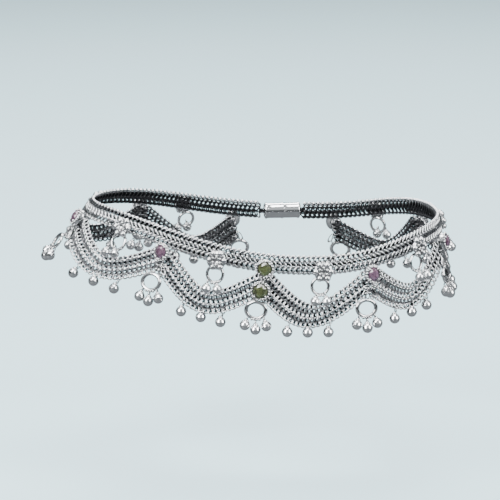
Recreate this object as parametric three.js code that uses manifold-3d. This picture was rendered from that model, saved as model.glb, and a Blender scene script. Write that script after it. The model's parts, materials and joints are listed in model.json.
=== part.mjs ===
// A payal: a woven silver anklet with a skirt of eight woven scallops, small round bells, and
// coloured stones in cups at the joints between the scallops. Millimetres, +Z up.
//
// The anklet keeps the form that it has when it is worn. X runs from the instep (-X) to the heel
// (+X), and the middle joint, with its two olive-green stones, is on the -Y side.
//
// Every piece is laid out on the strap first, by three distances:
//   around  along the band's top edge, 0 at the middle joint and positive towards the heel
//   down    down the skirt, 0 at the band's top edge
//   out     away from the ankle, 0 in the middle of the strap's thickness
import * as THREE from "three";
import { mergeVertices } from "three/addons/utils/BufferGeometryUtils.js";
import Module from "manifold-3d";

const wasm = await Module();
wasm.setup();

// The loop round the ankle.
const LOOP_LENGTH = 98; // instep to heel, along the band's top edge
const LOOP_WIDTH = 64;
const EGG = 0.25; // how much narrower the loop is at the instep
const LOW_POINT = 0.27; // where the sides dip most, as a share of the way to the heel
const LOW_Z = -4.9;
const INSTEP_RISE = 8.9; // the band climbs this far from its low point to the instep
const HEEL_RISE = 5.0;
const EASE = 1.3; // how long the band stays low before it climbs
const LEAN = 0.22; // the skirt hangs this far towards the instep for each unit down
const SIDE_FLARE = 7; // degrees that the skirt leans out from the vertical
const INSTEP_FLARE = 38;
const HEEL_FLARE = 12;

// The woven band and its clasp.
const BAND_TALL = 5.6;
const BAND_THICK = 1.8;
const BAND_STEPS = 72;
const CLASP_LENGTH = 11;
const CLASP_RADIUS = 2.5;

// The scallops.
const SWAGS = 8;
const PITCH = 28.9; // joint to joint
const SWAG_WIDE = 6.0;
const SWAG_THICK = 1.6;
const SWAG_END = 8.4; // depth of the scallop's middle line at a joint
const SWAG_DROP = 8.4; // and how much lower that line is at the bottom
const SWAG_ROUND = 0.4; // how rounded the bottom is, against straight legs
const SWAG_STEPS = 16;

// Rings, bells and stems.
const BELL_RADIUS = 1.45;
const SMALL_BELL_RADIUS = 1.35;
const BELL_DOWN = 21.4; // depth of the bells on a scallop's lower edge
const BELL_AROUND = [-5.0, 0.4, 5.8]; // from the scallop's middle
const WIRE = 0.4; // radius of a drop ring's wire
const STEM = 0.5; // radius of the stem that carries a bell
const JOINT_RING = { down: 16.0, radius: 2.25, widen: 1.22 };
const JOINT_BELLS = [
  { around: -3.0, down: 20.2 },
  { around: 0.0, down: 21.3 },
  { around: 3.0, down: 20.2 },
];
const INNER_RING = { around: 0.9, down: 8.6, radius: 2.3, out: 0.2 };
const INNER_BELLS = { around: 1.6, down: 12.5 };

// Stones, their cups, and the granulated flowers.
const CUP_WALL = 0.5;
const CUP_FLOOR = 0.4;
const CUP_DEEP = 1.5;
const STONE_TALL = 1.6;
const UPPER_CUP = { down: 4.2, radius: 2.6, narrow: 1 };
const LOWER_CUP = { down: 10.4, radius: 2.75, narrow: 1 };
const OVAL_CUP = { down: 7.0, radius: 2.6, narrow: 0.84 };
const FLOWER = { around: 1.0, down: 4.5, radius: 3.1, petals: 6, tall: 1.2 };

const GAP = 0.3; // between pieces that touch on the real anklet

const SILVER = { color: 0xc9ced3, roughness: 0.3, metalness: 1.0 };
const SHINY = { color: 0xdde2e6, roughness: 0.18, metalness: 1.0 };
const PERIDOT = { color: 0x646a3a, roughness: 0.08, metalness: 0.0 };
const PINK = { color: 0x8a5f7d, roughness: 0.1, metalness: 0.0 };

// The band's top edge at an angle round the ankle, 0 at the middle joint.
function topEdge(angle) {
  const along = Math.sin(angle);
  const width = Math.cos(angle) * (1 + EGG * along);
  const toHeel = along > LOW_POINT;
  const reach = toHeel ? 1 - LOW_POINT : 1 + LOW_POINT;
  const climb = Math.pow(Math.abs(along - LOW_POINT) / reach, EASE);
  const rise = (toHeel ? HEEL_RISE : INSTEP_RISE) * climb * climb * (3 - 2 * climb);
  return new THREE.Vector3((LOOP_LENGTH / 2) * along, (-LOOP_WIDTH / 2) * width, LOW_Z + rise);
}

// Running length of the top edge, from the back, so that a distance can be turned into an angle.
const ANGLES = 1440;
const running = [0];
for (let i = 1; i <= ANGLES; i++) {
  const before = topEdge(-Math.PI + (2 * Math.PI * (i - 1)) / ANGLES);
  const here = topEdge(-Math.PI + (2 * Math.PI * i) / ANGLES);
  running.push(running[i - 1] + here.distanceTo(before));
}
const LOOP_AROUND = running[ANGLES];

function angleAt(around) {
  const target = running[ANGLES / 2] + around;
  let i = running.findIndex((length) => length > target) - 1;
  if (i < 0) i = target < 0 ? 0 : ANGLES - 1;
  const part = (target - running[i]) / (running[i + 1] - running[i]);
  return -Math.PI + (2 * Math.PI * (i + part)) / ANGLES;
}

// The strap's own directions at a distance round it.
function strapFrame(around) {
  const angle = angleAt(around);
  const step = 1e-4;
  const along = topEdge(angle + step).sub(topEdge(angle - step));
  along.z = 0;
  along.normalize();
  const away = new THREE.Vector3(along.y, -along.x, 0);
  const share = Math.sin(angle);
  const extra = (share < 0 ? INSTEP_FLARE : HEEL_FLARE) - SIDE_FLARE;
  const flare = THREE.MathUtils.degToRad(SIDE_FLARE + extra * share * share);
  const up = new THREE.Vector3(0, 0, 1);
  const down = away.clone().multiplyScalar(Math.sin(flare)).addScaledVector(up, -Math.cos(flare));
  const out = away.clone().multiplyScalar(Math.cos(flare)).addScaledVector(up, Math.sin(flare));
  return { origin: topEdge(angle), along, down, out };
}

// A point on the strap, in the object's own space. Below the band the skirt leans.
function onStrap(around, down, out) {
  const frame = strapFrame(around - LEAN * Math.max(0, down - BAND_TALL));
  return frame.origin.addScaledVector(frame.down, down).addScaledVector(frame.out, out);
}

// The matrix that carries a rigid piece to its place: its x goes along, y up and z out.
function seat(around, down, out) {
  const frame = strapFrame(around - LEAN * Math.max(0, down - BAND_TALL));
  const up = frame.down.clone().negate();
  const matrix = new THREE.Matrix4().makeBasis(frame.along, up, frame.out);
  return matrix.setPosition(onStrap(around, down, out));
}

// A closed solid through a row of sections with the same number of corners.
function loft(sections) {
  const corners = sections[0].length;
  const triangles = [];
  for (let i = 0; i + 1 < sections.length; i++) {
    for (let j = 0; j < corners; j++) {
      const a = i * corners + j;
      const b = i * corners + ((j + 1) % corners);
      triangles.push(a, a + corners, b, b, a + corners, b + corners);
    }
  }
  const last = (sections.length - 1) * corners;
  for (let j = 1; j + 1 < corners; j++) {
    triangles.push(0, j, j + 1, last, last + j + 1, last + j);
  }
  const geometry = new THREE.BufferGeometry().setFromPoints(sections.flat());
  geometry.setIndex(triangles);
  geometry.computeVertexNormals();
  return geometry;
}

// An eight-sided flat section with cut corners, from one depth to another.
function flatSection(around, top, bottom, thick) {
  const half = thick / 2;
  const cut = half * 0.55;
  const corners = [
    [top + cut, -half], [bottom - cut, -half], [bottom, -half + cut], [bottom, half - cut],
    [bottom - cut, half], [top + cut, half], [top, half - cut], [top, -half + cut],
  ];
  return corners.map(([down, out]) => onStrap(around, down, out));
}

// Joining by manifold-3d.
function toSolid(geometry) {
  const bare = new THREE.BufferGeometry();
  bare.setAttribute("position", geometry.getAttribute("position").clone());
  if (geometry.index) bare.setIndex(geometry.index.clone());
  const merged = mergeVertices(bare, 1e-4);
  const mesh = new wasm.Mesh({
    numProp: 3,
    vertProperties: new Float32Array(merged.getAttribute("position").array),
    triVerts: new Uint32Array(merged.index.array),
  });
  return new wasm.Manifold(mesh);
}

function join(geometries) {
  const joined = geometries.map(toSolid).reduce((whole, piece) => whole.add(piece));
  const mesh = joined.getMesh();
  const geometry = new THREE.BufferGeometry();
  geometry.setAttribute("position", new THREE.BufferAttribute(new Float32Array(mesh.vertProperties), 3));
  geometry.setIndex(new THREE.BufferAttribute(new Uint32Array(mesh.triVerts), 1));
  geometry.computeVertexNormals();
  return geometry;
}

// A round closed profile turned about the piece's z axis.
function turned(profile, sides) {
  const points = profile.map(([radius, height]) => new THREE.Vector2(radius, height));
  return new THREE.LatheGeometry(points, sides).rotateX(Math.PI / 2);
}

function bell(x, y, z, radius) {
  return new THREE.SphereGeometry(radius, 6, 4).translate(x, y, z);
}

// A stem between two points in a piece's own space, sunk a little into what it joins.
function stem(from, to) {
  const line = new THREE.Vector3().subVectors(to, from);
  const turn = new THREE.Quaternion().setFromUnitVectors(
    new THREE.Vector3(0, 1, 0), line.clone().normalize());
  const middle = new THREE.Vector3().addVectors(from, to).multiplyScalar(0.5);
  const geometry = new THREE.CylinderGeometry(STEM, STEM, line.length(), 5);
  return geometry.applyQuaternion(turn).translate(middle.x, middle.y, middle.z);
}

const anklet = new THREE.Group();

function add(name, geometry, finish, matrix) {
  const mesh = new THREE.Mesh(geometry, new THREE.MeshStandardMaterial(finish));
  mesh.name = name;
  if (matrix) mesh.applyMatrix4(matrix);
  anklet.add(mesh);
}

// --- The band: one woven chain from one end of the clasp round to the other.
function bandChain() {
  const end = LOOP_AROUND / 2 - CLASP_LENGTH / 2 - GAP;
  const sections = [];
  for (let i = 0; i <= BAND_STEPS; i++) {
    const around = -end + (2 * end * i) / BAND_STEPS;
    sections.push(flatSection(around, 0, BAND_TALL, BAND_THICK));
  }
  return loft(sections);
}

// --- The clasp: a plain barrel at the back, hidden behind the ankle.
function clasp() {
  const half = CLASP_LENGTH / 2;
  const profile = [
    [0, -half], [CLASP_RADIUS * 0.7, -half], [CLASP_RADIUS, -half * 0.8],
    [CLASP_RADIUS, half * 0.8], [CLASP_RADIUS * 0.7, half], [0, half],
  ];
  return turned(profile, 12).rotateY(Math.PI / 2);
}

// --- A scallop. Its middle line is two straight legs with a round bottom between them.
function swagLine(share) {
  const flat = Math.hypot(share, SWAG_ROUND) - SWAG_ROUND;
  const full = Math.hypot(1, SWAG_ROUND) - SWAG_ROUND;
  return {
    around: (share * (PITCH - GAP)) / 2,
    down: SWAG_END + SWAG_DROP * (1 - flat / full),
  };
}

function swag(middle) {
  const sections = [];
  for (let i = 0; i <= SWAG_STEPS; i++) {
    const share = -1 + (2 * i) / SWAG_STEPS;
    const line = swagLine(share);
    const before = swagLine(share - 0.01);
    const after = swagLine(share + 0.01);
    const slope = (after.down - before.down) / (after.around - before.around);
    const half = (SWAG_WIDE / 2) * Math.hypot(1, slope);
    const top = Math.max(line.down - half, BAND_TALL + GAP);
    sections.push(flatSection(middle + line.around, top, line.down + half, SWAG_THICK));
  }
  const pieces = [loft(sections)];
  for (const around of BELL_AROUND) {
    const placed = seat(middle + around, BELL_DOWN, 0);
    const root = new THREE.Vector3(0, BELL_DOWN - SWAG_END - SWAG_DROP, 0);
    pieces.push(bell(0, 0, 0, BELL_RADIUS).applyMatrix4(placed));
    pieces.push(stem(new THREE.Vector3(0, 0, 0), root).applyMatrix4(placed));
  }
  return join(pieces);
}

// --- The drop at a joint: an oval ring and a cluster of three bells.
function jointDrop() {
  const ring = new THREE.TorusGeometry(JOINT_RING.radius, WIRE, 4, 10);
  ring.scale(JOINT_RING.widen, 1, 1);
  const pieces = [ring];
  for (const { around, down } of JOINT_BELLS) {
    const y = JOINT_RING.down - down;
    const top = new THREE.Vector3(around * 0.35, -JOINT_RING.radius, 0);
    pieces.push(bell(around, y, 0, BELL_RADIUS), stem(top, new THREE.Vector3(around, y, 0)));
  }
  return join(pieces);
}

// --- The drop inside a scallop: a ring, and two bells that lie on the scallop's upper edge.
function innerDrop() {
  const pieces = [new THREE.TorusGeometry(INNER_RING.radius, WIRE, 4, 10)];
  const y = INNER_RING.down - INNER_BELLS.down;
  const z = SWAG_THICK / 2 + GAP + SMALL_BELL_RADIUS - INNER_RING.out;
  for (const side of [-1, 1]) {
    const top = new THREE.Vector3(side * 0.6, -INNER_RING.radius, 0);
    const middle = new THREE.Vector3(side * INNER_BELLS.around, y, z);
    pieces.push(bell(middle.x, middle.y, middle.z, SMALL_BELL_RADIUS), stem(top, middle));
  }
  return join(pieces);
}

// --- A flower: a boss with a scalloped outline.
function flower() {
  const outline = new THREE.Shape();
  const corners = FLOWER.petals * 2;
  for (let i = 0; i < corners; i++) {
    const angle = (2 * Math.PI * i) / corners;
    const radius = i % 2 ? FLOWER.radius * 0.84 : FLOWER.radius;
    if (i) outline.lineTo(radius * Math.cos(angle), radius * Math.sin(angle));
    else outline.moveTo(radius, 0);
  }
  outline.closePath();
  return new THREE.ExtrudeGeometry(outline, { depth: FLOWER.tall, bevelEnabled: false });
}

// --- A cup and its stone.
function setting(cup) {
  const inner = cup.radius - CUP_WALL;
  const profile = [
    [0, 0], [cup.radius, 0], [cup.radius, CUP_DEEP], [inner, CUP_DEEP], [inner, CUP_FLOOR], [0, CUP_FLOOR],
  ];
  return turned(profile, 12).scale(cup.narrow, 1, 1);
}

function stone(cup) {
  const radius = cup.radius - CUP_WALL - GAP;
  const girdle = STONE_TALL * 0.4;
  const profile = [
    [0, 0], [radius * 0.7, 0], [radius, girdle], [radius * 0.6, STONE_TALL], [0, STONE_TALL],
  ];
  return turned(profile, 8).scale(cup.narrow, 1, 1);
}

function addStone(suffix, cup, around, finish) {
  const onBand = BAND_THICK / 2 + GAP;
  add(`setting_${suffix}`, setting(cup), SHINY, seat(around, cup.down, onBand));
  add(`stone_${suffix}`, stone(cup), finish, seat(around, cup.down, onBand + CUP_FLOOR + GAP));
}

add("band_chain", bandChain(), SILVER);
add("clasp", clasp(), SHINY, seat(LOOP_AROUND / 2, BAND_TALL / 2, 0));

for (let i = 1; i <= SWAGS; i++) {
  const middle = (i - (SWAGS + 1) / 2) * PITCH;
  add(`swag_${i}`, swag(middle), SILVER);
  add(`flower_${i}`, flower(), SHINY, seat(middle + FLOWER.around, FLOWER.down, BAND_THICK / 2 + GAP));
  add(`inner_drop_${i}`, innerDrop(), SHINY, seat(middle + INNER_RING.around, INNER_RING.down, INNER_RING.out));
}

for (let i = 0; i <= SWAGS; i++) {
  const around = (i - SWAGS / 2) * PITCH;
  const inFront = SWAG_THICK / 2 + GAP + WIRE;
  add(`joint_drop_${i + 1}`, jointDrop(), SHINY, seat(around, JOINT_RING.down, inFront));
  if (i === SWAGS / 2) {
    addStone("middle_upper", UPPER_CUP, around, PERIDOT);
    addStone("middle_lower", LOWER_CUP, around, PERIDOT);
  } else {
    addStone(`${i + 1}`, OVAL_CUP, around, PINK);
  }
}

export default anklet;
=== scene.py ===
# The looks of a silver payal: a woven band, eight woven scallops, bells, rings, cups and stones.
# The anklet keeps its worn form. Everything is in metres, in the frame's own space.
import json
import math

import bpy
from mathutils import Euler, Matrix, Vector

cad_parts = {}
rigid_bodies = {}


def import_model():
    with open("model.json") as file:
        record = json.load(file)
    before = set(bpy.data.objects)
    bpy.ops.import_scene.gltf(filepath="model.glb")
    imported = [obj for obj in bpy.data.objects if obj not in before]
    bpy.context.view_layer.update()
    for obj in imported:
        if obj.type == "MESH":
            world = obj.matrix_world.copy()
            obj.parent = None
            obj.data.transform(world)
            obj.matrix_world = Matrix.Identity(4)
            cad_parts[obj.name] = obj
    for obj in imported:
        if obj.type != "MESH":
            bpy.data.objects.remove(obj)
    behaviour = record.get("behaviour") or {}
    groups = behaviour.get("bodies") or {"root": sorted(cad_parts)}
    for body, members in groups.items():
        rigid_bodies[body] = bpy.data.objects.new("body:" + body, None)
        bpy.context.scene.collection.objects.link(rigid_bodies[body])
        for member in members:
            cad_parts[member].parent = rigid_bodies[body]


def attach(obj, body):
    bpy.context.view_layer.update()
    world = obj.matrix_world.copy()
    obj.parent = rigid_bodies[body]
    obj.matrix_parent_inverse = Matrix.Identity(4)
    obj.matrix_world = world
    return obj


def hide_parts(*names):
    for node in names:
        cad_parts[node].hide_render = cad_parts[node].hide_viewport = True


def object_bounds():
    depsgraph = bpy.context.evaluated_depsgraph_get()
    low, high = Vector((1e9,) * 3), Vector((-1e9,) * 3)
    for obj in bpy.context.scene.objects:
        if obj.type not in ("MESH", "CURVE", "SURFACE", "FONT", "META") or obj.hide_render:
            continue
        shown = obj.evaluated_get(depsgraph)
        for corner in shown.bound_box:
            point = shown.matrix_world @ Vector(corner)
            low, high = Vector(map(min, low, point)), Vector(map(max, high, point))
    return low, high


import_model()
cad_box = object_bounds()

MM = 0.001

# ---------------------------------------------------------------- camera, floor and light

middle = sum((Vector(corner) for corner in cad_box), Vector()) / 2
CAMERA_LENS = 165
CAMERA_FAR = 0.66
CAMERA_RISE = math.radians(14)
FLOOR_BELOW = 75 * MM


def make_camera():
    """Looks along +Y and a little down, at the side with the middle joint."""
    data = bpy.data.cameras.new("camera")
    data.lens = CAMERA_LENS
    data.dof.use_dof = False
    camera = bpy.data.objects.new("camera", data)
    back = Vector((0, -math.cos(CAMERA_RISE), math.sin(CAMERA_RISE)))
    camera.location = middle + back * CAMERA_FAR
    camera.rotation_euler = (math.radians(90) - CAMERA_RISE, 0, 0)
    bpy.context.scene.collection.objects.link(camera)
    bpy.context.scene.camera = camera


def new_material(name, rough=0.5, metal=0.0):
    """An empty node material: its tree, its Principled shader, and the material."""
    material = bpy.data.materials.new(name)
    material.use_nodes = True
    shader = material.node_tree.nodes["Principled BSDF"]
    shader.inputs["Roughness"].default_value = rough
    shader.inputs["Metallic"].default_value = metal
    return material, material.node_tree, shader


def make_floor():
    """A pale floor. Glossy rays see it near black, a painted dark reflection in the polished metal, as beside a dark
    ankle.
    """
    material, tree, shader = new_material("pale_floor", rough=0.6)
    noise = tree.nodes.new("ShaderNodeTexNoise")
    noise.inputs["Scale"].default_value = 3
    ramp = tree.nodes.new("ShaderNodeValToRGB")
    ramp.color_ramp.elements[0].color = (0.60, 0.86, 0.94, 1)
    ramp.color_ramp.elements[1].color = (0.66, 0.91, 0.98, 1)
    path = tree.nodes.new("ShaderNodeLightPath")
    mix = tree.nodes.new("ShaderNodeMix")
    mix.data_type = "RGBA"
    mix.inputs["B"].default_value = (0.05, 0.055, 0.06, 1)
    tree.links.new(noise.outputs["Fac"], ramp.inputs["Fac"])
    # Painted reflection: glossy rays see the floor near black.
    tree.links.new(path.outputs["Is Glossy Ray"], mix.inputs["Factor"])
    tree.links.new(ramp.outputs["Color"], mix.inputs["A"])
    tree.links.new(mix.outputs["Result"], shader.inputs["Base Color"])
    mesh = bpy.data.meshes.new("floor")
    reach = 6.0
    corners = [(-reach, -reach), (reach, -reach), (reach, reach), (-reach, reach)]
    mesh.from_pydata([(x, y, -FLOOR_BELOW) for x, y in corners], [], [(0, 1, 2, 3)])
    mesh.materials.append(material)
    floor = bpy.data.objects.new("floor", mesh)
    bpy.context.scene.collection.objects.link(floor)


def make_world():
    """A pale room: bright overhead, dim at eye level, so that polished metal has contrast."""
    world = bpy.data.worlds.new("studio")
    bpy.context.scene.world = world
    world.use_nodes = True
    tree = world.node_tree
    background = tree.nodes["Background"]
    place = tree.nodes.new("ShaderNodeTexCoord")
    split = tree.nodes.new("ShaderNodeSeparateXYZ")
    ramp = tree.nodes.new("ShaderNodeValToRGB")
    stops = [(0.0, 0.02), (0.10, 0.08), (0.3, 0.3), (0.55, 0.75), (0.8, 0.5), (1.0, 0.6)]
    while len(ramp.color_ramp.elements) < len(stops):
        ramp.color_ramp.elements.new(0.5)
    for element, (place_at, level) in zip(ramp.color_ramp.elements, stops):
        element.position = place_at
        element.color = (level * 0.94, level * 0.985, level, 1)
    path = tree.nodes.new("ShaderNodeLightPath")
    mix = tree.nodes.new("ShaderNodeMix")
    mix.data_type = "RGBA"
    mix.inputs["B"].default_value = (0.66, 0.89, 0.98, 1)
    tree.links.new(place.outputs["Generated"], split.inputs["Vector"])
    tree.links.new(split.outputs["Z"], ramp.inputs["Fac"])
    tree.links.new(ramp.outputs["Color"], mix.inputs["A"])
    tree.links.new(path.outputs["Is Camera Ray"], mix.inputs["Factor"])
    tree.links.new(mix.outputs["Result"], background.inputs["Color"])


def make_light(name, azimuth, rise, far, width, height, watts):
    data = bpy.data.lights.new(name, "AREA")
    data.shape = "RECTANGLE"
    data.size = width
    data.size_y = height
    data.energy = watts
    light = bpy.data.objects.new(name, data)
    turn, up = math.radians(azimuth), math.radians(rise)
    away = Vector((math.sin(turn) * math.cos(up), -math.cos(turn) * math.cos(up), math.sin(up)))
    light.location = middle + away * far
    light.rotation_euler = away.to_track_quat("Z", "Y").to_euler()
    bpy.context.scene.collection.objects.link(light)


make_camera()
make_floor()
make_world()
make_light("key_left", -50, 38, 0.9, 0.35, 0.5, 11)
make_light("fill_right", 60, 30, 0.9, 0.3, 0.5, 7)
make_light("top", 0, 84, 0.9, 0.6, 0.4, 9)
make_light("back", 180, 45, 1.0, 0.7, 0.3, 9)

# ---------------------------------------------------------------- the strap's own space

LOOP_LENGTH = 98 * MM
LOOP_WIDTH = 64 * MM
EGG = 0.25
LOW_POINT = 0.27
LOW_Z = -4.9 * MM
INSTEP_RISE = 8.9 * MM
HEEL_RISE = 5.0 * MM
EASE = 1.3
LEAN = 0.22
SIDE_FLARE = 7
INSTEP_FLARE = 38
HEEL_FLARE = 12
BAND_TALL = 5.6 * MM
BAND_THICK = 1.8 * MM
SWAGS = 8
PITCH = 28.9 * MM
SWAG_WIDE = 6.0 * MM
SWAG_END = 8.4 * MM
SWAG_DROP = 8.4 * MM
SWAG_ROUND = 0.4
GAP = 0.3 * MM
ANGLES = 1440


def top_edge(angle):
    """The band's top edge at an angle round the ankle, 0 at the middle joint."""
    along = math.sin(angle)
    width = math.cos(angle) * (1 + EGG * along)
    to_heel = along > LOW_POINT
    reach = 1 - LOW_POINT if to_heel else 1 + LOW_POINT
    climb = (abs(along - LOW_POINT) / reach) ** EASE
    rise = (HEEL_RISE if to_heel else INSTEP_RISE) * climb * climb * (3 - 2 * climb)
    return Vector((LOOP_LENGTH / 2 * along, -LOOP_WIDTH / 2 * width, LOW_Z + rise))


running = [0.0]
for index in range(ANGLES):
    start = top_edge(-math.pi + 2 * math.pi * index / ANGLES)
    end = top_edge(-math.pi + 2 * math.pi * (index + 1) / ANGLES)
    running.append(running[-1] + (end - start).length)
LOOP_AROUND = running[-1]


def angle_at(around):
    """The angle at a distance round the band from the middle joint."""
    target = (running[ANGLES // 2] + around) % LOOP_AROUND
    low, high = 0, ANGLES
    while high - low > 1:
        half = (low + high) // 2
        low, high = (half, high) if running[half] <= target else (low, half)
    part = (target - running[low]) / (running[high] - running[low])
    return -math.pi + 2 * math.pi * (low + part) / ANGLES


def strap_frame(around):
    """Where the band's top edge is, and the level, down and outward directions there."""
    angle = angle_at(around)
    along = top_edge(angle + 1e-4) - top_edge(angle - 1e-4)
    along.z = 0
    along.normalize()
    away = Vector((along.y, -along.x, 0))
    share = math.sin(angle)
    extra = (INSTEP_FLARE if share < 0 else HEEL_FLARE) - SIDE_FLARE
    flare = math.radians(SIDE_FLARE + extra * share * share)
    down = away * math.sin(flare) - Vector((0, 0, math.cos(flare)))
    out = away * math.cos(flare) + Vector((0, 0, math.sin(flare)))
    return top_edge(angle), along, down, out


def leaned(around, down):
    """Below the band the skirt hangs a little towards the instep."""
    return around - LEAN * max(0.0, down - BAND_TALL)


def on_strap(around, down, out=0.0):
    origin, _, down_way, out_way = strap_frame(leaned(around, down))
    return origin + down_way * down + out_way * out


def hung_seat(around, down, out=0.0):
    """The place of a rigid piece that hangs: its x goes along, its y up and its z out."""
    _, along, down_way, out_way = strap_frame(leaned(around, down))
    matrix = Matrix((along, -down_way, out_way)).transposed().to_4x4()
    matrix.translation = on_strap(around, down, out)
    return matrix


def woven_seat(before, after, place, lean=0.0, tilt=0.0):
    """The place of a link. Its x follows the line from before to after, both strap places,
    turned by lean in the strap's plane; tilt then turns it about its own x."""
    way = (on_strap(*after) - on_strap(*before)).normalized()
    out_way = strap_frame(leaned(place[0], place[1]))[3]
    across = out_way.cross(way).normalized()
    matrix = Matrix((way, across, way.cross(across))).transposed().to_4x4()
    matrix = matrix @ Euler((0, 0, lean)).to_matrix().to_4x4() @ Euler((tilt, 0, 0)).to_matrix().to_4x4()
    matrix.translation = on_strap(*place)
    return matrix


# ---------------------------------------------------------------- materials

def group_socket(tree, name, kind, way="INPUT", value=None):
    socket = tree.interface.new_socket(name=name, in_out=way, socket_type=kind)
    if value is not None:
        socket.default_value = value
    return socket


def math_node(tree, operation, a, b):
    node = tree.nodes.new("ShaderNodeMath")
    node.operation = operation
    node.use_clamp = True
    for socket, value in zip(node.inputs, (a, b)):
        if isinstance(value, (int, float)):
            socket.default_value = value
        else:
            tree.links.new(value, socket)
    return node.outputs[0]


def make_tarnish_group():
    """Worn silver with painted shade: bright crests, dark tarnish in random patches, painted shade in the recesses,
    on the wires' inner sides and on links behind, and fine scratches.
    """
    tree = bpy.data.node_groups.new("worn_silver", "ShaderNodeTree")
    group_socket(tree, "Crest", "NodeSocketColor", value=(0.86, 0.88, 0.9, 1))
    # The dark colour is both the tarnish of the patches and the painted shade.
    group_socket(tree, "Tarnish", "NodeSocketColor", value=(0.05, 0.05, 0.055, 1))
    group_socket(tree, "Amount", "NodeSocketFloat", value=0.5)
    group_socket(tree, "Depth", "NodeSocketFloat", value=0.9)
    group_socket(tree, "Rough", "NodeSocketFloat", value=0.2)
    group_socket(tree, "Color", "NodeSocketColor", "OUTPUT")
    group_socket(tree, "Roughness", "NodeSocketFloat", "OUTPUT")
    group_socket(tree, "Normal", "NodeSocketVector", "OUTPUT")
    nodes, links = tree.nodes, tree.links
    given = nodes.new("NodeGroupInput")
    result = nodes.new("NodeGroupOutput")
    place = nodes.new("ShaderNodeTexCoord")
    recess = nodes.new("ShaderNodeAttribute")
    recess.attribute_name = "recess"
    patches = nodes.new("ShaderNodeTexNoise")
    patches.inputs["Scale"].default_value = 420
    patches.inputs["Detail"].default_value = 4
    links.new(place.outputs["Object"], patches.inputs["Vector"])
    # Painted shade on the wires' inner sides, stored by the ring tree.
    hollow = nodes.new("ShaderNodeAttribute")
    hollow.attribute_name = "hollow"
    open_air = nodes.new("ShaderNodeAmbientOcclusion")
    open_air.samples = 6
    open_air.inputs["Distance"].default_value = 0.9 * MM
    # Painted shade: ambient occlusion within 0.9 mm, the shade value of each piece and the wires' inner sides darken
    # the colour; only the noise patches are tarnish.
    painted_crevice_shade = math_node(tree, "SUBTRACT", 1.0, open_air.outputs["AO"])
    dull = math_node(tree, "MULTIPLY", patches.outputs["Fac"], given.outputs["Amount"])
    dark = math_node(tree, "ADD", recess.outputs["Fac"], math_node(tree, "MULTIPLY", dull, 0.4))
    dark = math_node(tree, "ADD", dark, math_node(tree, "MULTIPLY", hollow.outputs["Fac"], 0.55))
    dark = math_node(tree, "ADD", dark, math_node(tree, "MULTIPLY", painted_crevice_shade, given.outputs["Depth"]))
    mix = nodes.new("ShaderNodeMix")
    mix.data_type = "RGBA"
    links.new(dark, mix.inputs["Factor"])
    links.new(given.outputs["Crest"], mix.inputs["A"])
    links.new(given.outputs["Tarnish"], mix.inputs["B"])
    links.new(mix.outputs["Result"], result.inputs["Color"])
    rough = math_node(tree, "ADD", given.outputs["Rough"], math_node(tree, "MULTIPLY", dark, 0.3))
    links.new(rough, result.inputs["Roughness"])
    scratches = nodes.new("ShaderNodeTexNoise")
    scratches.inputs["Scale"].default_value = 2600
    scratches.inputs["Detail"].default_value = 3
    links.new(place.outputs["Object"], scratches.inputs["Vector"])
    bump = nodes.new("ShaderNodeBump")
    bump.inputs["Strength"].default_value = 0.12
    bump.inputs["Distance"].default_value = 0.00004
    links.new(scratches.outputs["Fac"], bump.inputs["Height"])
    links.new(bump.outputs["Normal"], result.inputs["Normal"])
    return tree


worn_silver = make_tarnish_group()


def silver(name, crest, tarnish_and_shade, amount, rough):
    material, tree, shader = new_material(name, metal=1.0)
    group = tree.nodes.new("ShaderNodeGroup")
    group.node_tree = worn_silver
    group.inputs["Crest"].default_value = (*crest, 1)
    group.inputs["Tarnish"].default_value = (*tarnish_and_shade, 1)
    group.inputs["Amount"].default_value = amount
    group.inputs["Rough"].default_value = rough
    tree.links.new(group.outputs["Color"], shader.inputs["Base Color"])
    tree.links.new(group.outputs["Roughness"], shader.inputs["Roughness"])
    tree.links.new(group.outputs["Normal"], shader.inputs["Normal"])
    return material


def gem(name, deep, light, scale):
    """A foiled glass stone: its colour runs from deep to light in soft veils."""
    material, tree, shader = new_material(name, rough=0.04)
    place = tree.nodes.new("ShaderNodeTexCoord")
    veils = tree.nodes.new("ShaderNodeTexNoise")
    veils.inputs["Scale"].default_value = scale
    veils.inputs["Distortion"].default_value = 1.2
    ramp = tree.nodes.new("ShaderNodeValToRGB")
    ramp.color_ramp.elements[0].position = 0.36
    ramp.color_ramp.elements[0].color = (*deep, 1)
    ramp.color_ramp.elements[1].position = 0.68
    ramp.color_ramp.elements[1].color = (*light, 1)
    tree.links.new(place.outputs["Object"], veils.inputs["Vector"])
    tree.links.new(veils.outputs["Fac"], ramp.inputs["Fac"])
    tree.links.new(ramp.outputs["Color"], shader.inputs["Base Color"])
    shader.inputs["IOR"].default_value = 1.62
    shader.inputs["Coat Weight"].default_value = 0.8
    shader.inputs["Coat Roughness"].default_value = 0.03
    shader.inputs["Transmission Weight"].default_value = 0.35
    return material


# The second colour of each silver is its tarnish and its painted shade.
WOVEN = silver("woven_silver", (0.88, 0.90, 0.92), (0.035, 0.036, 0.04), 0.35, 0.16)
SHINY = silver("bright_silver", (0.93, 0.945, 0.96), (0.08, 0.08, 0.085), 0.2, 0.1)
OLIVE = gem("olive_stone", (0.033, 0.037, 0.014), (0.14, 0.148, 0.065), 700)
PINK = gem("pink_stone", (0.085, 0.04, 0.065), (0.27, 0.15, 0.215), 700)

# ---------------------------------------------------------------- node trees for what repeats

def geometry_tree(name, sizes):
    """A Geometry Nodes tree with a geometry input and output, and named inputs."""
    tree = bpy.data.node_groups.new(name, "GeometryNodeTree")
    group_socket(tree, "Places", "NodeSocketGeometry")
    for label, kind, value in sizes:
        group_socket(tree, label, kind, value=value)
    group_socket(tree, "Geometry", "NodeSocketGeometry", "OUTPUT")
    return tree, tree.nodes.new("NodeGroupInput"), tree.nodes.new("NodeGroupOutput")


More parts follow.
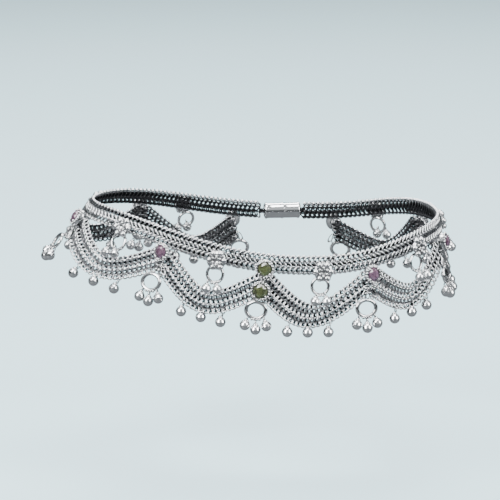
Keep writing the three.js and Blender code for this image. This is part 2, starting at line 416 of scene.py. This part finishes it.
def place_shape(tree, given, result, shape):
    """Puts shape at each place, turned by its turn and wobble, stretched, realized, finished."""
    nodes, links = tree.nodes, tree.links
    turn = nodes.new("GeometryNodeInputNamedAttribute")
    turn.data_type = "FLOAT_VECTOR"
    turn.inputs["Name"].default_value = "turn"
    stretch = nodes.new("GeometryNodeInputNamedAttribute")
    stretch.data_type = "FLOAT_VECTOR"
    stretch.inputs["Name"].default_value = "stretch"
    to_turn = nodes.new("FunctionNodeEulerToRotation")
    links.new(turn.outputs["Attribute"], to_turn.inputs[0])
    least = nodes.new("ShaderNodeMath")
    least.operation = "MULTIPLY"
    least.inputs[1].default_value = -1
    links.new(given.outputs["Wobble"], least.inputs[0])
    chance = nodes.new("FunctionNodeRandomValue")
    chance.data_type = "FLOAT_VECTOR"
    links.new(least.outputs[0], chance.inputs["Min"])
    links.new(given.outputs["Wobble"], chance.inputs["Max"])
    links.new(given.outputs["Seed"], chance.inputs["Seed"])
    wobble = nodes.new("FunctionNodeEulerToRotation")
    links.new(chance.outputs["Value"], wobble.inputs[0])
    both = nodes.new("FunctionNodeRotateRotation")
    both.rotation_space = "LOCAL"
    links.new(to_turn.outputs[0], both.inputs[0])
    links.new(wobble.outputs[0], both.inputs[1])
    copies = nodes.new("GeometryNodeInstanceOnPoints")
    links.new(given.outputs["Places"], copies.inputs["Points"])
    links.new(shape, copies.inputs["Instance"])
    links.new(both.outputs[0], copies.inputs["Rotation"])
    links.new(stretch.outputs["Attribute"], copies.inputs["Scale"])
    real = nodes.new("GeometryNodeRealizeInstances")
    links.new(copies.outputs["Instances"], real.inputs["Geometry"])
    finish = nodes.new("GeometryNodeSetMaterial")
    links.new(real.outputs["Geometry"], finish.inputs["Geometry"])
    links.new(given.outputs["Finish"], finish.inputs["Material"])
    links.new(finish.outputs["Geometry"], result.inputs["Geometry"])


COMMON = [
    ("Wobble", "NodeSocketFloat", 0.0),
    ("Seed", "NodeSocketInt", 7),
    ("Finish", "NodeSocketMaterial", None),
]


def make_ring_tree():
    """Round wire rings, one at each place, in the place's own x and y."""
    sizes = [
        ("Ring radius", "NodeSocketFloat", 0.8 * MM), ("Wire radius", "NodeSocketFloat", 0.2 * MM),
        ("Ring steps", "NodeSocketInt", 12), ("Wire sides", "NodeSocketInt", 6),
    ]
    tree, given, result = geometry_tree("wire_rings", sizes + COMMON)
    ring = tree.nodes.new("GeometryNodeCurvePrimitiveCircle")
    wire = tree.nodes.new("GeometryNodeCurvePrimitiveCircle")
    sweep = tree.nodes.new("GeometryNodeCurveToMesh")
    smooth = tree.nodes.new("GeometryNodeSetShadeSmooth")
    tree.links.new(given.outputs["Ring radius"], ring.inputs["Radius"])
    tree.links.new(given.outputs["Ring steps"], ring.inputs["Resolution"])
    tree.links.new(given.outputs["Wire radius"], wire.inputs["Radius"])
    tree.links.new(given.outputs["Wire sides"], wire.inputs["Resolution"])
    tree.links.new(ring.outputs["Curve"], sweep.inputs["Curve"])
    tree.links.new(wire.outputs["Curve"], sweep.inputs["Profile Curve"])
    tree.links.new(sweep.outputs["Mesh"], smooth.inputs["Geometry"])
    place_shape(tree, given, result, darken_inside(tree, given, smooth.outputs["Geometry"]))
    return tree


def darken_inside(tree, given, ring):
    """Stores painted shade, named hollow, on a ring: 1 on the wire's inner side, 0 from its crest outwards."""
    place = tree.nodes.new("GeometryNodeInputPosition")
    flat = tree.nodes.new("ShaderNodeVectorMath")
    flat.operation = "MULTIPLY"
    flat.inputs[1].default_value = (1, 1, 0)
    far = tree.nodes.new("ShaderNodeVectorMath")
    far.operation = "LENGTH"
    inside = tree.nodes.new("ShaderNodeMath")
    inside.operation = "SUBTRACT"
    share = tree.nodes.new("ShaderNodeMath")
    share.operation = "DIVIDE"
    share.use_clamp = True
    store = tree.nodes.new("GeometryNodeStoreNamedAttribute")
    store.data_type = "FLOAT"
    store.domain = "POINT"
    store.inputs["Name"].default_value = "hollow"
    tree.links.new(place.outputs["Position"], flat.inputs[0])
    tree.links.new(flat.outputs["Vector"], far.inputs[0])
    tree.links.new(given.outputs["Ring radius"], inside.inputs[0])
    tree.links.new(far.outputs["Value"], inside.inputs[1])
    tree.links.new(inside.outputs[0], share.inputs[0])
    tree.links.new(given.outputs["Wire radius"], share.inputs[1])
    tree.links.new(ring, store.inputs["Geometry"])
    tree.links.new(share.outputs[0], store.inputs["Value"])
    return store.outputs["Geometry"]


def make_grain_tree():
    """Small round grains of silver, one at each place."""
    sizes = [
        ("Grain radius", "NodeSocketFloat", 0.4 * MM), ("Detail", "NodeSocketInt", 2),
    ]
    tree, given, result = geometry_tree("silver_grains", sizes + COMMON)
    ball = tree.nodes.new("GeometryNodeMeshIcoSphere")
    smooth = tree.nodes.new("GeometryNodeSetShadeSmooth")
    tree.links.new(given.outputs["Grain radius"], ball.inputs["Radius"])
    tree.links.new(given.outputs["Detail"], ball.inputs["Subdivisions"])
    tree.links.new(ball.outputs["Mesh"], smooth.inputs["Geometry"])
    place_shape(tree, given, result, smooth.outputs["Geometry"])
    return tree


def make_copy_tree():
    """Copies of a finished shape, such as a bell, one at each place."""
    sizes = [("Shape", "NodeSocketObject", None)]
    tree, given, result = geometry_tree("copies", sizes + COMMON)
    source = tree.nodes.new("GeometryNodeObjectInfo")
    tree.links.new(given.outputs["Shape"], source.inputs["Object"])
    place_shape(tree, given, result, source.outputs["Geometry"])
    return tree


RINGS = make_ring_tree()
GRAINS = make_grain_tree()
COPIES = make_copy_tree()


def grow(tree, seats, finish, **sizes):
    """Runs a tree on seats, each a matrix, a stretch and an amount of painted shade from 0 to 1
    that darkens the colour. Returns a plain object."""
    mesh = bpy.data.meshes.new("places")
    mesh.from_pydata([seat.translation for seat, _, _ in seats], [], [])
    for name, kind in (("turn", "FLOAT_VECTOR"), ("stretch", "FLOAT_VECTOR"), ("recess", "FLOAT")):
        mesh.attributes.new(name, kind, "POINT")
    for index, (seat, size, painted_shade_amount) in enumerate(seats):
        mesh.attributes["turn"].data[index].vector = seat.to_euler("XYZ")
        mesh.attributes["stretch"].data[index].vector = size
        mesh.attributes["recess"].data[index].value = painted_shade_amount
    places = bpy.data.objects.new("places", mesh)
    bpy.context.scene.collection.objects.link(places)
    modifier = places.modifiers.new("grow", "NODES")
    modifier.node_group = tree
    values = {key.replace("_", " "): value for key, value in sizes.items()}
    values["Finish"] = finish
    for socket in tree.interface.items_tree:
        if socket.in_out == "INPUT" and socket.name in values:
            modifier[socket.identifier] = values[socket.name]
    grown = bpy.data.meshes.new_from_object(places.evaluated_get(bpy.context.evaluated_depsgraph_get()))
    places.modifiers.remove(modifier)
    bpy.data.objects.remove(places)
    piece = bpy.data.objects.new("grown", grown)
    bpy.context.scene.collection.objects.link(piece)
    return piece


def turned_shape(name, profile, sides, finish, smooth=True):
    """A closed round shape turned about z from (radius, height) points, axis to axis."""
    corners = [(0, 0, profile[0][1])]
    for radius, height in profile[1:-1]:
        for side in range(sides):
            angle = 2 * math.pi * side / sides
            corners.append((radius * math.cos(angle), radius * math.sin(angle), height))
    corners.append((0, 0, profile[-1][1]))
    rows = len(profile) - 2
    last = len(corners) - 1
    faces = []
    for side in range(sides):
        after = (side + 1) % sides
        faces.append((0, 1 + after, 1 + side))
        for row in range(rows - 1):
            here, above = 1 + row * sides, 1 + (row + 1) * sides
            faces.append((here + side, here + after, above + after, above + side))
        faces.append((1 + (rows - 1) * sides + side, 1 + (rows - 1) * sides + after, last))
    mesh = bpy.data.meshes.new(name)
    mesh.from_pydata(corners, [], faces)
    mesh.attributes.new("recess", "FLOAT", "POINT")
    mesh.materials.append(finish)
    mesh.polygons.foreach_set("use_smooth", [smooth] * len(mesh.polygons))
    shape = bpy.data.objects.new(name, mesh)
    bpy.context.scene.collection.objects.link(shape)
    return shape


def placed(shape, matrix):
    """A copy of a shape with its place in its mesh."""
    copy = bpy.data.objects.new(shape.name, shape.data.copy())
    copy.data.transform(matrix)
    bpy.context.scene.collection.objects.link(copy)
    return copy


def finish_piece(name, parts, slot, *nodes):
    """Joins parts into one piece that stands for its nodes."""
    bpy.ops.object.select_all(action="DESELECT")
    for part in parts:
        part.select_set(True)
    bpy.context.view_layer.objects.active = parts[0]
    if len(parts) > 1:
        bpy.ops.object.join()
    piece = parts[0]
    piece.name = name
    piece.data.name = name
    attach(piece, "root")
    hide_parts(*nodes)
    return piece


PLAIN = (1, 1, 1)

# ---------------------------------------------------------------- the woven band

LINK_PITCH = 1.38 * MM
CLASP_LENGTH = 11 * MM
CLASP_RADIUS = 2.5 * MM


def band_row(down, lean, tilt, out, shift, size, recess):
    """One row of slanted links from one end of the clasp round to the other."""
    end = LOOP_AROUND / 2 - CLASP_LENGTH / 2 - GAP - 0.9 * MM
    count = round(2 * end / LINK_PITCH)
    seats = []
    for index in range(count):
        around = -end + 2 * end * (index + 0.5 + shift) / count
        step = 0.4 * MM
        seat = woven_seat((around - step, down), (around + step, down), (around, down, out), lean, tilt)
        seats.append((seat, size, recess))
    return seats


def make_band():
    """Three rows of slanted oval links, a beaded top edge and a scalloped lower edge, with a
    second layer of links behind, darkened with painted shade."""
    slant = math.radians(52)
    oval = (1.25, 0.62, 1)
    # Painted shade: the middle row carries 0.02 and the two rows behind 0.75 of the dark colour.
    front = band_row(1.35 * MM, slant, 0.35, 0.25 * MM, 0.0, oval, 0.0)
    front += band_row(2.85 * MM, -slant, 0.35, 0.3 * MM, 0.5, oval, 0.02)
    front += band_row(4.25 * MM, slant, 0.35, 0.25 * MM, 0.0, oval, 0.0)
    behind = band_row(1.9 * MM, -slant, 0.3, -0.4 * MM, 0.25, (1.3, 0.75, 1), 0.75)
    behind += band_row(3.7 * MM, slant, 0.3, -0.4 * MM, 0.75, (1.3, 0.75, 1), 0.75)
    parts = [
        grow(RINGS, front, WOVEN, Ring_radius=0.98 * MM, Wire_radius=0.27 * MM, Ring_steps=14, Wobble=0.05),
        grow(RINGS, behind, WOVEN, Ring_radius=0.98 * MM, Wire_radius=0.27 * MM, Ring_steps=10, Wobble=0.05),
    ]
    top = band_row(0.55 * MM, 0, 0, 0.1 * MM, 0.5, PLAIN, 0.0)
    parts.append(grow(GRAINS, top, WOVEN, Grain_radius=0.52 * MM, Detail=2))
    low = band_row(5.0 * MM, 0, 0.5, 0.15 * MM, 0.5, (1, 0.8, 1), 0.0)
    parts.append(grow(RINGS, low, WOVEN, Ring_radius=0.5 * MM, Wire_radius=0.2 * MM, Ring_steps=10))
    finish_piece("woven_band", parts, "woven_silver", "band_chain")


# ---------------------------------------------------------------- bells

def ball_profile(radius, steps, start, end):
    """Points round a ball from one height angle to another, in degrees from its foot."""
    points = []
    for index in range(steps + 1):
        angle = math.radians(start + (end - start) * index / steps)
        points.append((radius * math.sin(angle), -radius * math.cos(angle)))
    return points


def make_bell(name, radius):
    """A ball of two soldered halves under a small cap, with its top 1.3 radii up."""
    profile = [(0, -radius)]
    profile += ball_profile(radius, 5, 16, 84)
    profile += [(radius * 1.035, -radius * 0.04), (radius * 1.035, radius * 0.04)]
    profile += ball_profile(radius, 5, 96, 156)
    profile += [(radius * 0.46, radius * 0.96), (radius * 0.44, radius * 1.1)]
    profile += [(radius * 0.22, radius * 1.22), (0, radius * 1.24)]
    bell = turned_shape(name, profile, 18, SHINY)
    bell.data.transform(Matrix.Rotation(-math.pi / 2, 4, "X"))
    return bell


BELL_RADIUS = 1.45 * MM
SMALL_BELL_RADIUS = 1.35 * MM
big_bell = make_bell("bell", BELL_RADIUS)
small_bell = make_bell("small_bell", SMALL_BELL_RADIUS)


def bells_with_loops(bell, radius, places):
    """Bells at hanging places, each (around, down, out, loops), with a chain of small loops
    above it."""
    bells, loops = [], []
    for around, down, out, count in places:
        bells.append((hung_seat(around, down, out), PLAIN, 0.0))
        for index in range(count):
            rise = radius * 1.24 + (0.34 + 0.72 * index) * MM
            seat = hung_seat(around, down - rise, out)
            turn = Matrix.Rotation(math.radians(90 if index % 2 == 0 else 20), 4, "Y")
            # The small loops carry 0.1 of painted shade.
            loops.append((seat @ turn, PLAIN, 0.1))
    parts = [grow(COPIES, bells, SHINY, Shape=bell)]
    parts.append(grow(RINGS, loops, SHINY, Ring_radius=0.42 * MM, Wire_radius=0.15 * MM, Ring_steps=12))
    return parts


# ---------------------------------------------------------------- the scallops

MESH_PITCH = 1.32 * MM
MESH_ROWS = 5
BELL_DOWN = 21.4 * MM
BELL_AROUND = [-5.0 * MM, 0.4 * MM, 5.8 * MM]


def swag_line(share):
    """A scallop's middle line: two straight legs with a round bottom between them."""
    flat = math.hypot(share, SWAG_ROUND) - SWAG_ROUND
    full = math.hypot(1, SWAG_ROUND) - SWAG_ROUND
    around = share * (PITCH - GAP) / 2
    return around, SWAG_END + SWAG_DROP * (1 - flat / full)


def swag_edges(share):
    """Around, and the depths of the upper and lower edges there."""
    around, down = swag_line(share)
    before, after = swag_line(share - 0.01), swag_line(share + 0.01)
    slope = (after[1] - before[1]) / (after[0] - before[0])
    half = SWAG_WIDE / 2 * math.hypot(1, slope)
    return around, max(down - half, BAND_TALL + GAP), down + half


def even_shares(pitch):
    """Shares along a scallop's middle line about a pitch apart."""
    steps = 400
    shares = [-1 + 2 * index / steps for index in range(steps + 1)]
    length = [0.0]
    for index in range(steps):
        a, b = swag_line(shares[index]), swag_line(shares[index + 1])
        length.append(length[-1] + math.hypot(b[0] - a[0], b[1] - a[1]))
    count = round(length[-1] / pitch)
    picked = []
    for number in range(count + 1):
        target = length[-1] * number / count
        picked.append(shares[min(range(steps + 1), key=lambda i: abs(length[i] - target))])
    return picked


def mesh_seat(middle_around, share, row, out, tilt):
    """A mesh ring at a share along a scallop and a row from -1, its top, to 1, its foot."""
    keep = 0.86
    places = []
    for near in (share - 0.01, share + 0.01, share):
        around, top, foot = swag_edges(max(-0.985, min(0.985, near)))
        down = (top + foot) / 2 + (foot - top) / 2 * keep * row
        places.append((middle_around + around, down))
    return woven_seat(places[0], places[1], (*places[2], out), 0, tilt)


def make_swag(number):
    middle_around = (number - (SWAGS + 1) / 2) * PITCH
    shares = even_shares(MESH_PITCH)
    step = shares[1] - shares[0]
    front, behind = [], []
    for row_index in range(MESH_ROWS):
        row = -1 + 2 * row_index / (MESH_ROWS - 1)
        tilt = math.radians(30 if row_index % 2 else -30)
        for share in shares:
            shifted = share + step * (0.5 if row_index % 2 else 0)
            # Painted shade: the rings behind carry 0.7 of the dark colour.
            front.append((mesh_seat(middle_around, shifted, row, 0.22 * MM, tilt), PLAIN, 0.0))
            behind.append((mesh_seat(middle_around, shifted + step / 2, row * 0.9, -0.4 * MM, -tilt), PLAIN, 0.7))
    parts = [
        grow(RINGS, front, WOVEN, Ring_radius=0.72 * MM, Wire_radius=0.25 * MM, Wobble=0.12, Seed=number),
        grow(RINGS, behind, WOVEN, Ring_radius=0.74 * MM, Wire_radius=0.26 * MM, Ring_steps=10, Wobble=0.1,
             Seed=number + 20),
    ]
    places = [(middle_around + around, BELL_DOWN, 0.1 * MM, 3) for around in BELL_AROUND]
    parts += bells_with_loops(big_bell, BELL_RADIUS, places)
    finish_piece(f"woven_swag_{number}", parts, "woven_silver", f"swag_{number}")


# ---------------------------------------------------------------- rings and drops

def oval_wire(seat, radius, wire, widen=1.0, steps=36, recess=0.0):
    """One larger ring, as a seat for the ring tree at its own size."""
    seats = [(seat, (widen, 1, 1), recess)]
    return grow(RINGS, seats, SHINY, Ring_radius=radius, Wire_radius=wire, Ring_steps=steps, Wire_sides=12)


def shifted(seat, x=0.0, y=0.0, z=0.0):
    return seat @ Matrix.Translation((x, y, z))


def bell_cluster(bell, radius, seat, spots):
    """Bells at spots in a seat's own x, y and z, each with a loop above."""
    bells, loops, beads = [], [], []
    for x, y, z in spots:
        lean = Matrix.Rotation(math.atan2(x, 9 * MM), 4, "Z")
        bells.append((shifted(seat, x, y, z) @ lean, PLAIN, 0.0))
        top = shifted(seat, x, y, z) @ lean @ Matrix.Translation((0, radius * 1.24 + 0.3 * MM, 0))
        # The loops carry 0.1 of painted shade.
        loops.append((top @ Matrix.Rotation(math.pi / 2, 4, "Y"), PLAIN, 0.1))
    parts = [grow(COPIES, bells, SHINY, Shape=bell)]
    parts.append(grow(RINGS, loops, SHINY, Ring_radius=0.45 * MM, Wire_radius=0.17 * MM))
    return parts


def grains(seat, spots, radius, finish=None, detail=2):
    seats = [(shifted(seat, *spot), PLAIN, 0.0) for spot in spots]
    return grow(GRAINS, seats, finish or SHINY, Grain_radius=radius, Detail=detail)


def circle_spots(count, radius, z=0.0, widen=1.0, start=0.0, x=0.0, y=0.0):
    spots = []
    for index in range(count):
        angle = start + 2 * math.pi * index / count
        spots.append((x + radius * widen * math.cos(angle), y + radius * math.sin(angle), z))
    return spots


JOINT_RING_DOWN = 16.0 * MM
JOINT_OUT = 1.5 * MM


def make_joint_drop(number):
    """The fan of long links under a joint, the oval ring, and its three bells."""
    around = (number - 1 - SWAGS / 2) * PITCH
    seat = hung_seat(around, JOINT_RING_DOWN, JOINT_OUT)
    parts = [oval_wire(seat, 2.25 * MM, 0.46 * MM, widen=1.22)]
    fan = []
    for lean in (-34, -12, 12, 34):
        turn = Matrix.Rotation(math.radians(lean), 4, "Z")
        link = hung_seat(around, 10.2 * MM, 0.75 * MM) @ turn @ Matrix.Translation((0, -2.2 * MM, 0))
        # The fan links carry 0.05 of painted shade.
        fan.append((link, (0.5, 1.35, 1), 0.05))
    parts.append(grow(RINGS, fan, SHINY, Ring_radius=1.15 * MM, Wire_radius=0.24 * MM, Ring_steps=18))
    plate = [(x * MM, -2.5 * MM, 0.15 * MM) for x in (-1.1, -0.4, 0.4, 1.1)]
    parts.append(grains(seat, plate, 0.42 * MM))
    spots = [(-3.0 * MM, -4.3 * MM, 0), (0, -5.4 * MM, 0.1 * MM), (3.0 * MM, -4.3 * MM, 0)]
    parts += bell_cluster(big_bell, BELL_RADIUS, seat, spots)
    finish_piece(f"hanging_joint_{number}", parts, "bright_silver", f"joint_drop_{number}")


def make_inner_drop(number):
    """The ring inside a scallop, with two bells."""
    around = (number - (SWAGS + 1) / 2) * PITCH + 0.9 * MM
    seat = hung_seat(around, 8.6 * MM, 0.2 * MM)
    parts = [oval_wire(seat, 2.3 * MM, 0.42 * MM)]
    parts.append(grains(seat, [(x * MM, -2.5 * MM, 0.5 * MM) for x in (-0.7, 0, 0.7)], 0.4 * MM))
    spots = [(side * 1.6 * MM, -3.9 * MM, 2.25 * MM) for side in (-1, 1)]
    parts += bell_cluster(small_bell, SMALL_BELL_RADIUS, seat, spots)
    finish_piece(f"hanging_inner_{number}", parts, "bright_silver", f"inner_drop_{number}")


# ---------------------------------------------------------------- flowers, cups and stones

FLOWER_RADIUS = 3.1 * MM


def make_flower(number):
    """A boss of soldered grains round a hollow heart, on a thin plate."""
    around = (number - (SWAGS + 1) / 2) * PITCH + 1.0 * MM
    seat = hung_seat(around, 4.5 * MM, BAND_THICK / 2 + GAP)
    profile = [(0, 0), (2.5 * MM, 0), (2.6 * MM, 0.25 * MM), (2.4 * MM, 0.45 * MM), (0.9 * MM, 0.75 * MM),
               (0.6 * MM, 0.45 * MM), (0, 0.4 * MM)]
    parts = [placed(turned_shape("flower_plate", profile, 32, SHINY), seat)]
    parts.append(grains(seat, circle_spots(6, 2.1 * MM, 0.4 * MM), 0.92 * MM))
    parts.append(grains(seat, circle_spots(6, 1.15 * MM, 0.9 * MM, start=0.5), 0.4 * MM))
    parts.append(oval_wire(shifted(seat, z=0.8 * MM), 0.72 * MM, 0.16 * MM, steps=20))
    finish_piece(f"grain_flower_{number}", parts, "bright_silver", f"flower_{number}")


def gem_shape(name, radius, tall, finish):
    """A cut stone: a flat table, eight star and eight main crown facets, and a girdle."""
    sides = 8
    corners = [(0, 0, 0)]
    rings = [(0.72, 0.0, 0.0), (1.0, 0.36, 0.0), (1.0, 0.46, 0.0), (0.84, 0.74, 0.5), (0.56, 1.0, 0.0)]
    for share, height, turn in rings:
        for side in range(sides):
            angle = 2 * math.pi * (side + turn) / sides
            corners.append((radius * share * math.cos(angle), radius * share * math.sin(angle), tall * height))
    ring = [range(1 + sides * row, 1 + sides * (row + 1)) for row in range(len(rings))]
    faces = [tuple(ring[4])]
    for side in range(sides):
        after = (side + 1) % sides
        faces.append((0, ring[0][after], ring[0][side]))
        faces.append((ring[0][side], ring[0][after], ring[1][after], ring[1][side]))
        faces.append((ring[1][side], ring[1][after], ring[2][after], ring[2][side]))
        faces.append((ring[2][side], ring[2][after], ring[3][side]))
        faces.append((ring[2][after], ring[3][after], ring[3][side]))
        faces.append((ring[3][side], ring[4][after], ring[4][side]))
        faces.append((ring[3][side], ring[3][after], ring[4][after]))
    mesh = bpy.data.meshes.new(name)
    mesh.from_pydata(corners, [], faces)
    mesh.materials.append(finish)
    stone = bpy.data.objects.new(name, mesh)
    bpy.context.scene.collection.objects.link(stone)
    return stone


CUP_WALL = 0.5 * MM
CUP_FLOOR = 0.4 * MM
CUP_DEEP = 1.5 * MM
STONE_TALL = 1.6 * MM


def make_cup_and_stone(suffix, around, down, radius, narrow, finish, slot):
    """A rubbed-over cup with a grained foot and small claws, and its stone."""
    seat = hung_seat(around, down, BAND_THICK / 2 + GAP)
    inner = radius - CUP_WALL - 0.12 * MM
    profile = [
        (0, 0), (radius * 0.96, 0), (radius, 0.2 * MM), (radius * 0.93, 0.45 * MM), (radius * 0.86, CUP_DEEP * 0.85),
        (radius * 0.82, CUP_DEEP), (inner, CUP_DEEP * 0.96), (inner * 0.98, CUP_FLOOR), (0, CUP_FLOOR),
    ]
    flat = Matrix.Diagonal((narrow, 1, 1, 1))
    parts = [placed(turned_shape("cup", profile, 36, SHINY), seat @ flat)]
    count = round(2 * math.pi * radius / (0.86 * MM))
    beads = circle_spots(count, radius - 0.22 * MM, CUP_DEEP * 0.8, widen=narrow)
    parts.append(grains(seat, beads, 0.33 * MM))
    claws = circle_spots(4, inner + 0.05 * MM, CUP_DEEP + 0.15 * MM, widen=narrow, start=math.pi / 4)
    parts.append(grains(seat, claws, 0.34 * MM))
    if suffix == "middle_upper":
        between = [(side * 0.85 * MM, -3.0 * MM, 0.5 * MM) for side in (-1, 0, 1)]
        parts.append(grains(seat, between, 0.42 * MM))
    finish_piece(f"cup_{suffix}", parts, "bright_silver", f"setting_{suffix}")
    size = radius - CUP_WALL - 0.15 * MM
    stone = gem_shape(f"gem_{suffix}", size, STONE_TALL, finish)
    stone.data.transform(shifted(seat, z=CUP_FLOOR + 0.15 * MM) @ flat)
    finish_piece(f"gem_{suffix}", [stone], slot, f"stone_{suffix}")


# ---------------------------------------------------------------- the clasp

def make_clasp():
    """A plain barrel with a rolled rim at each end, and a peg that goes into the band's ends."""
    half = CLASP_LENGTH / 2
    peg = 0.75 * MM
    tip = half + 1.5 * MM
    profile = [(0, -tip), (peg, -tip), (peg, -half), (0.7 * CLASP_RADIUS, -half), (0.92 * CLASP_RADIUS, -half * 0.95),
               (CLASP_RADIUS, -half * 0.88), (0.92 * CLASP_RADIUS, -half * 0.8), (0.92 * CLASP_RADIUS, -half * 0.08),
               (CLASP_RADIUS, 0), (0.92 * CLASP_RADIUS, half * 0.08), (0.92 * CLASP_RADIUS, half * 0.8),
               (CLASP_RADIUS, half * 0.88), (0.92 * CLASP_RADIUS, half * 0.95), (0.7 * CLASP_RADIUS, half),
               (peg, half), (peg, tip), (0, tip)]
    seat = hung_seat(LOOP_AROUND / 2, BAND_TALL / 2) @ Matrix.Rotation(math.pi / 2, 4, "Y")
    barrel = placed(turned_shape("barrel", profile, 40, SHINY), seat)
    finish_piece("barrel_clasp", [barrel], "bright_silver", "clasp")


make_band()
make_clasp()
for number in range(1, SWAGS + 1):
    make_swag(number)
    make_flower(number)
    make_inner_drop(number)
for number in range(1, SWAGS + 2):
    make_joint_drop(number)
    joint = (number - 1 - SWAGS / 2) * PITCH
    if joint == 0:
        make_cup_and_stone("middle_upper", 0, 4.2 * MM, 2.6 * MM, 1, OLIVE, "olive_stone")
        make_cup_and_stone("middle_lower", 0, 10.4 * MM, 2.75 * MM, 1, OLIVE, "olive_stone")
    else:
        make_cup_and_stone(str(number), joint, 7.0 * MM, 2.6 * MM, 0.84, PINK, "pink_stone")

for pattern in [thing for thing in bpy.data.objects if thing.name.split(".")[0] in
                ("bell", "small_bell", "flower_plate", "cup", "barrel")]:
    bpy.data.objects.remove(pattern)

bpy.context.view_layer.update()
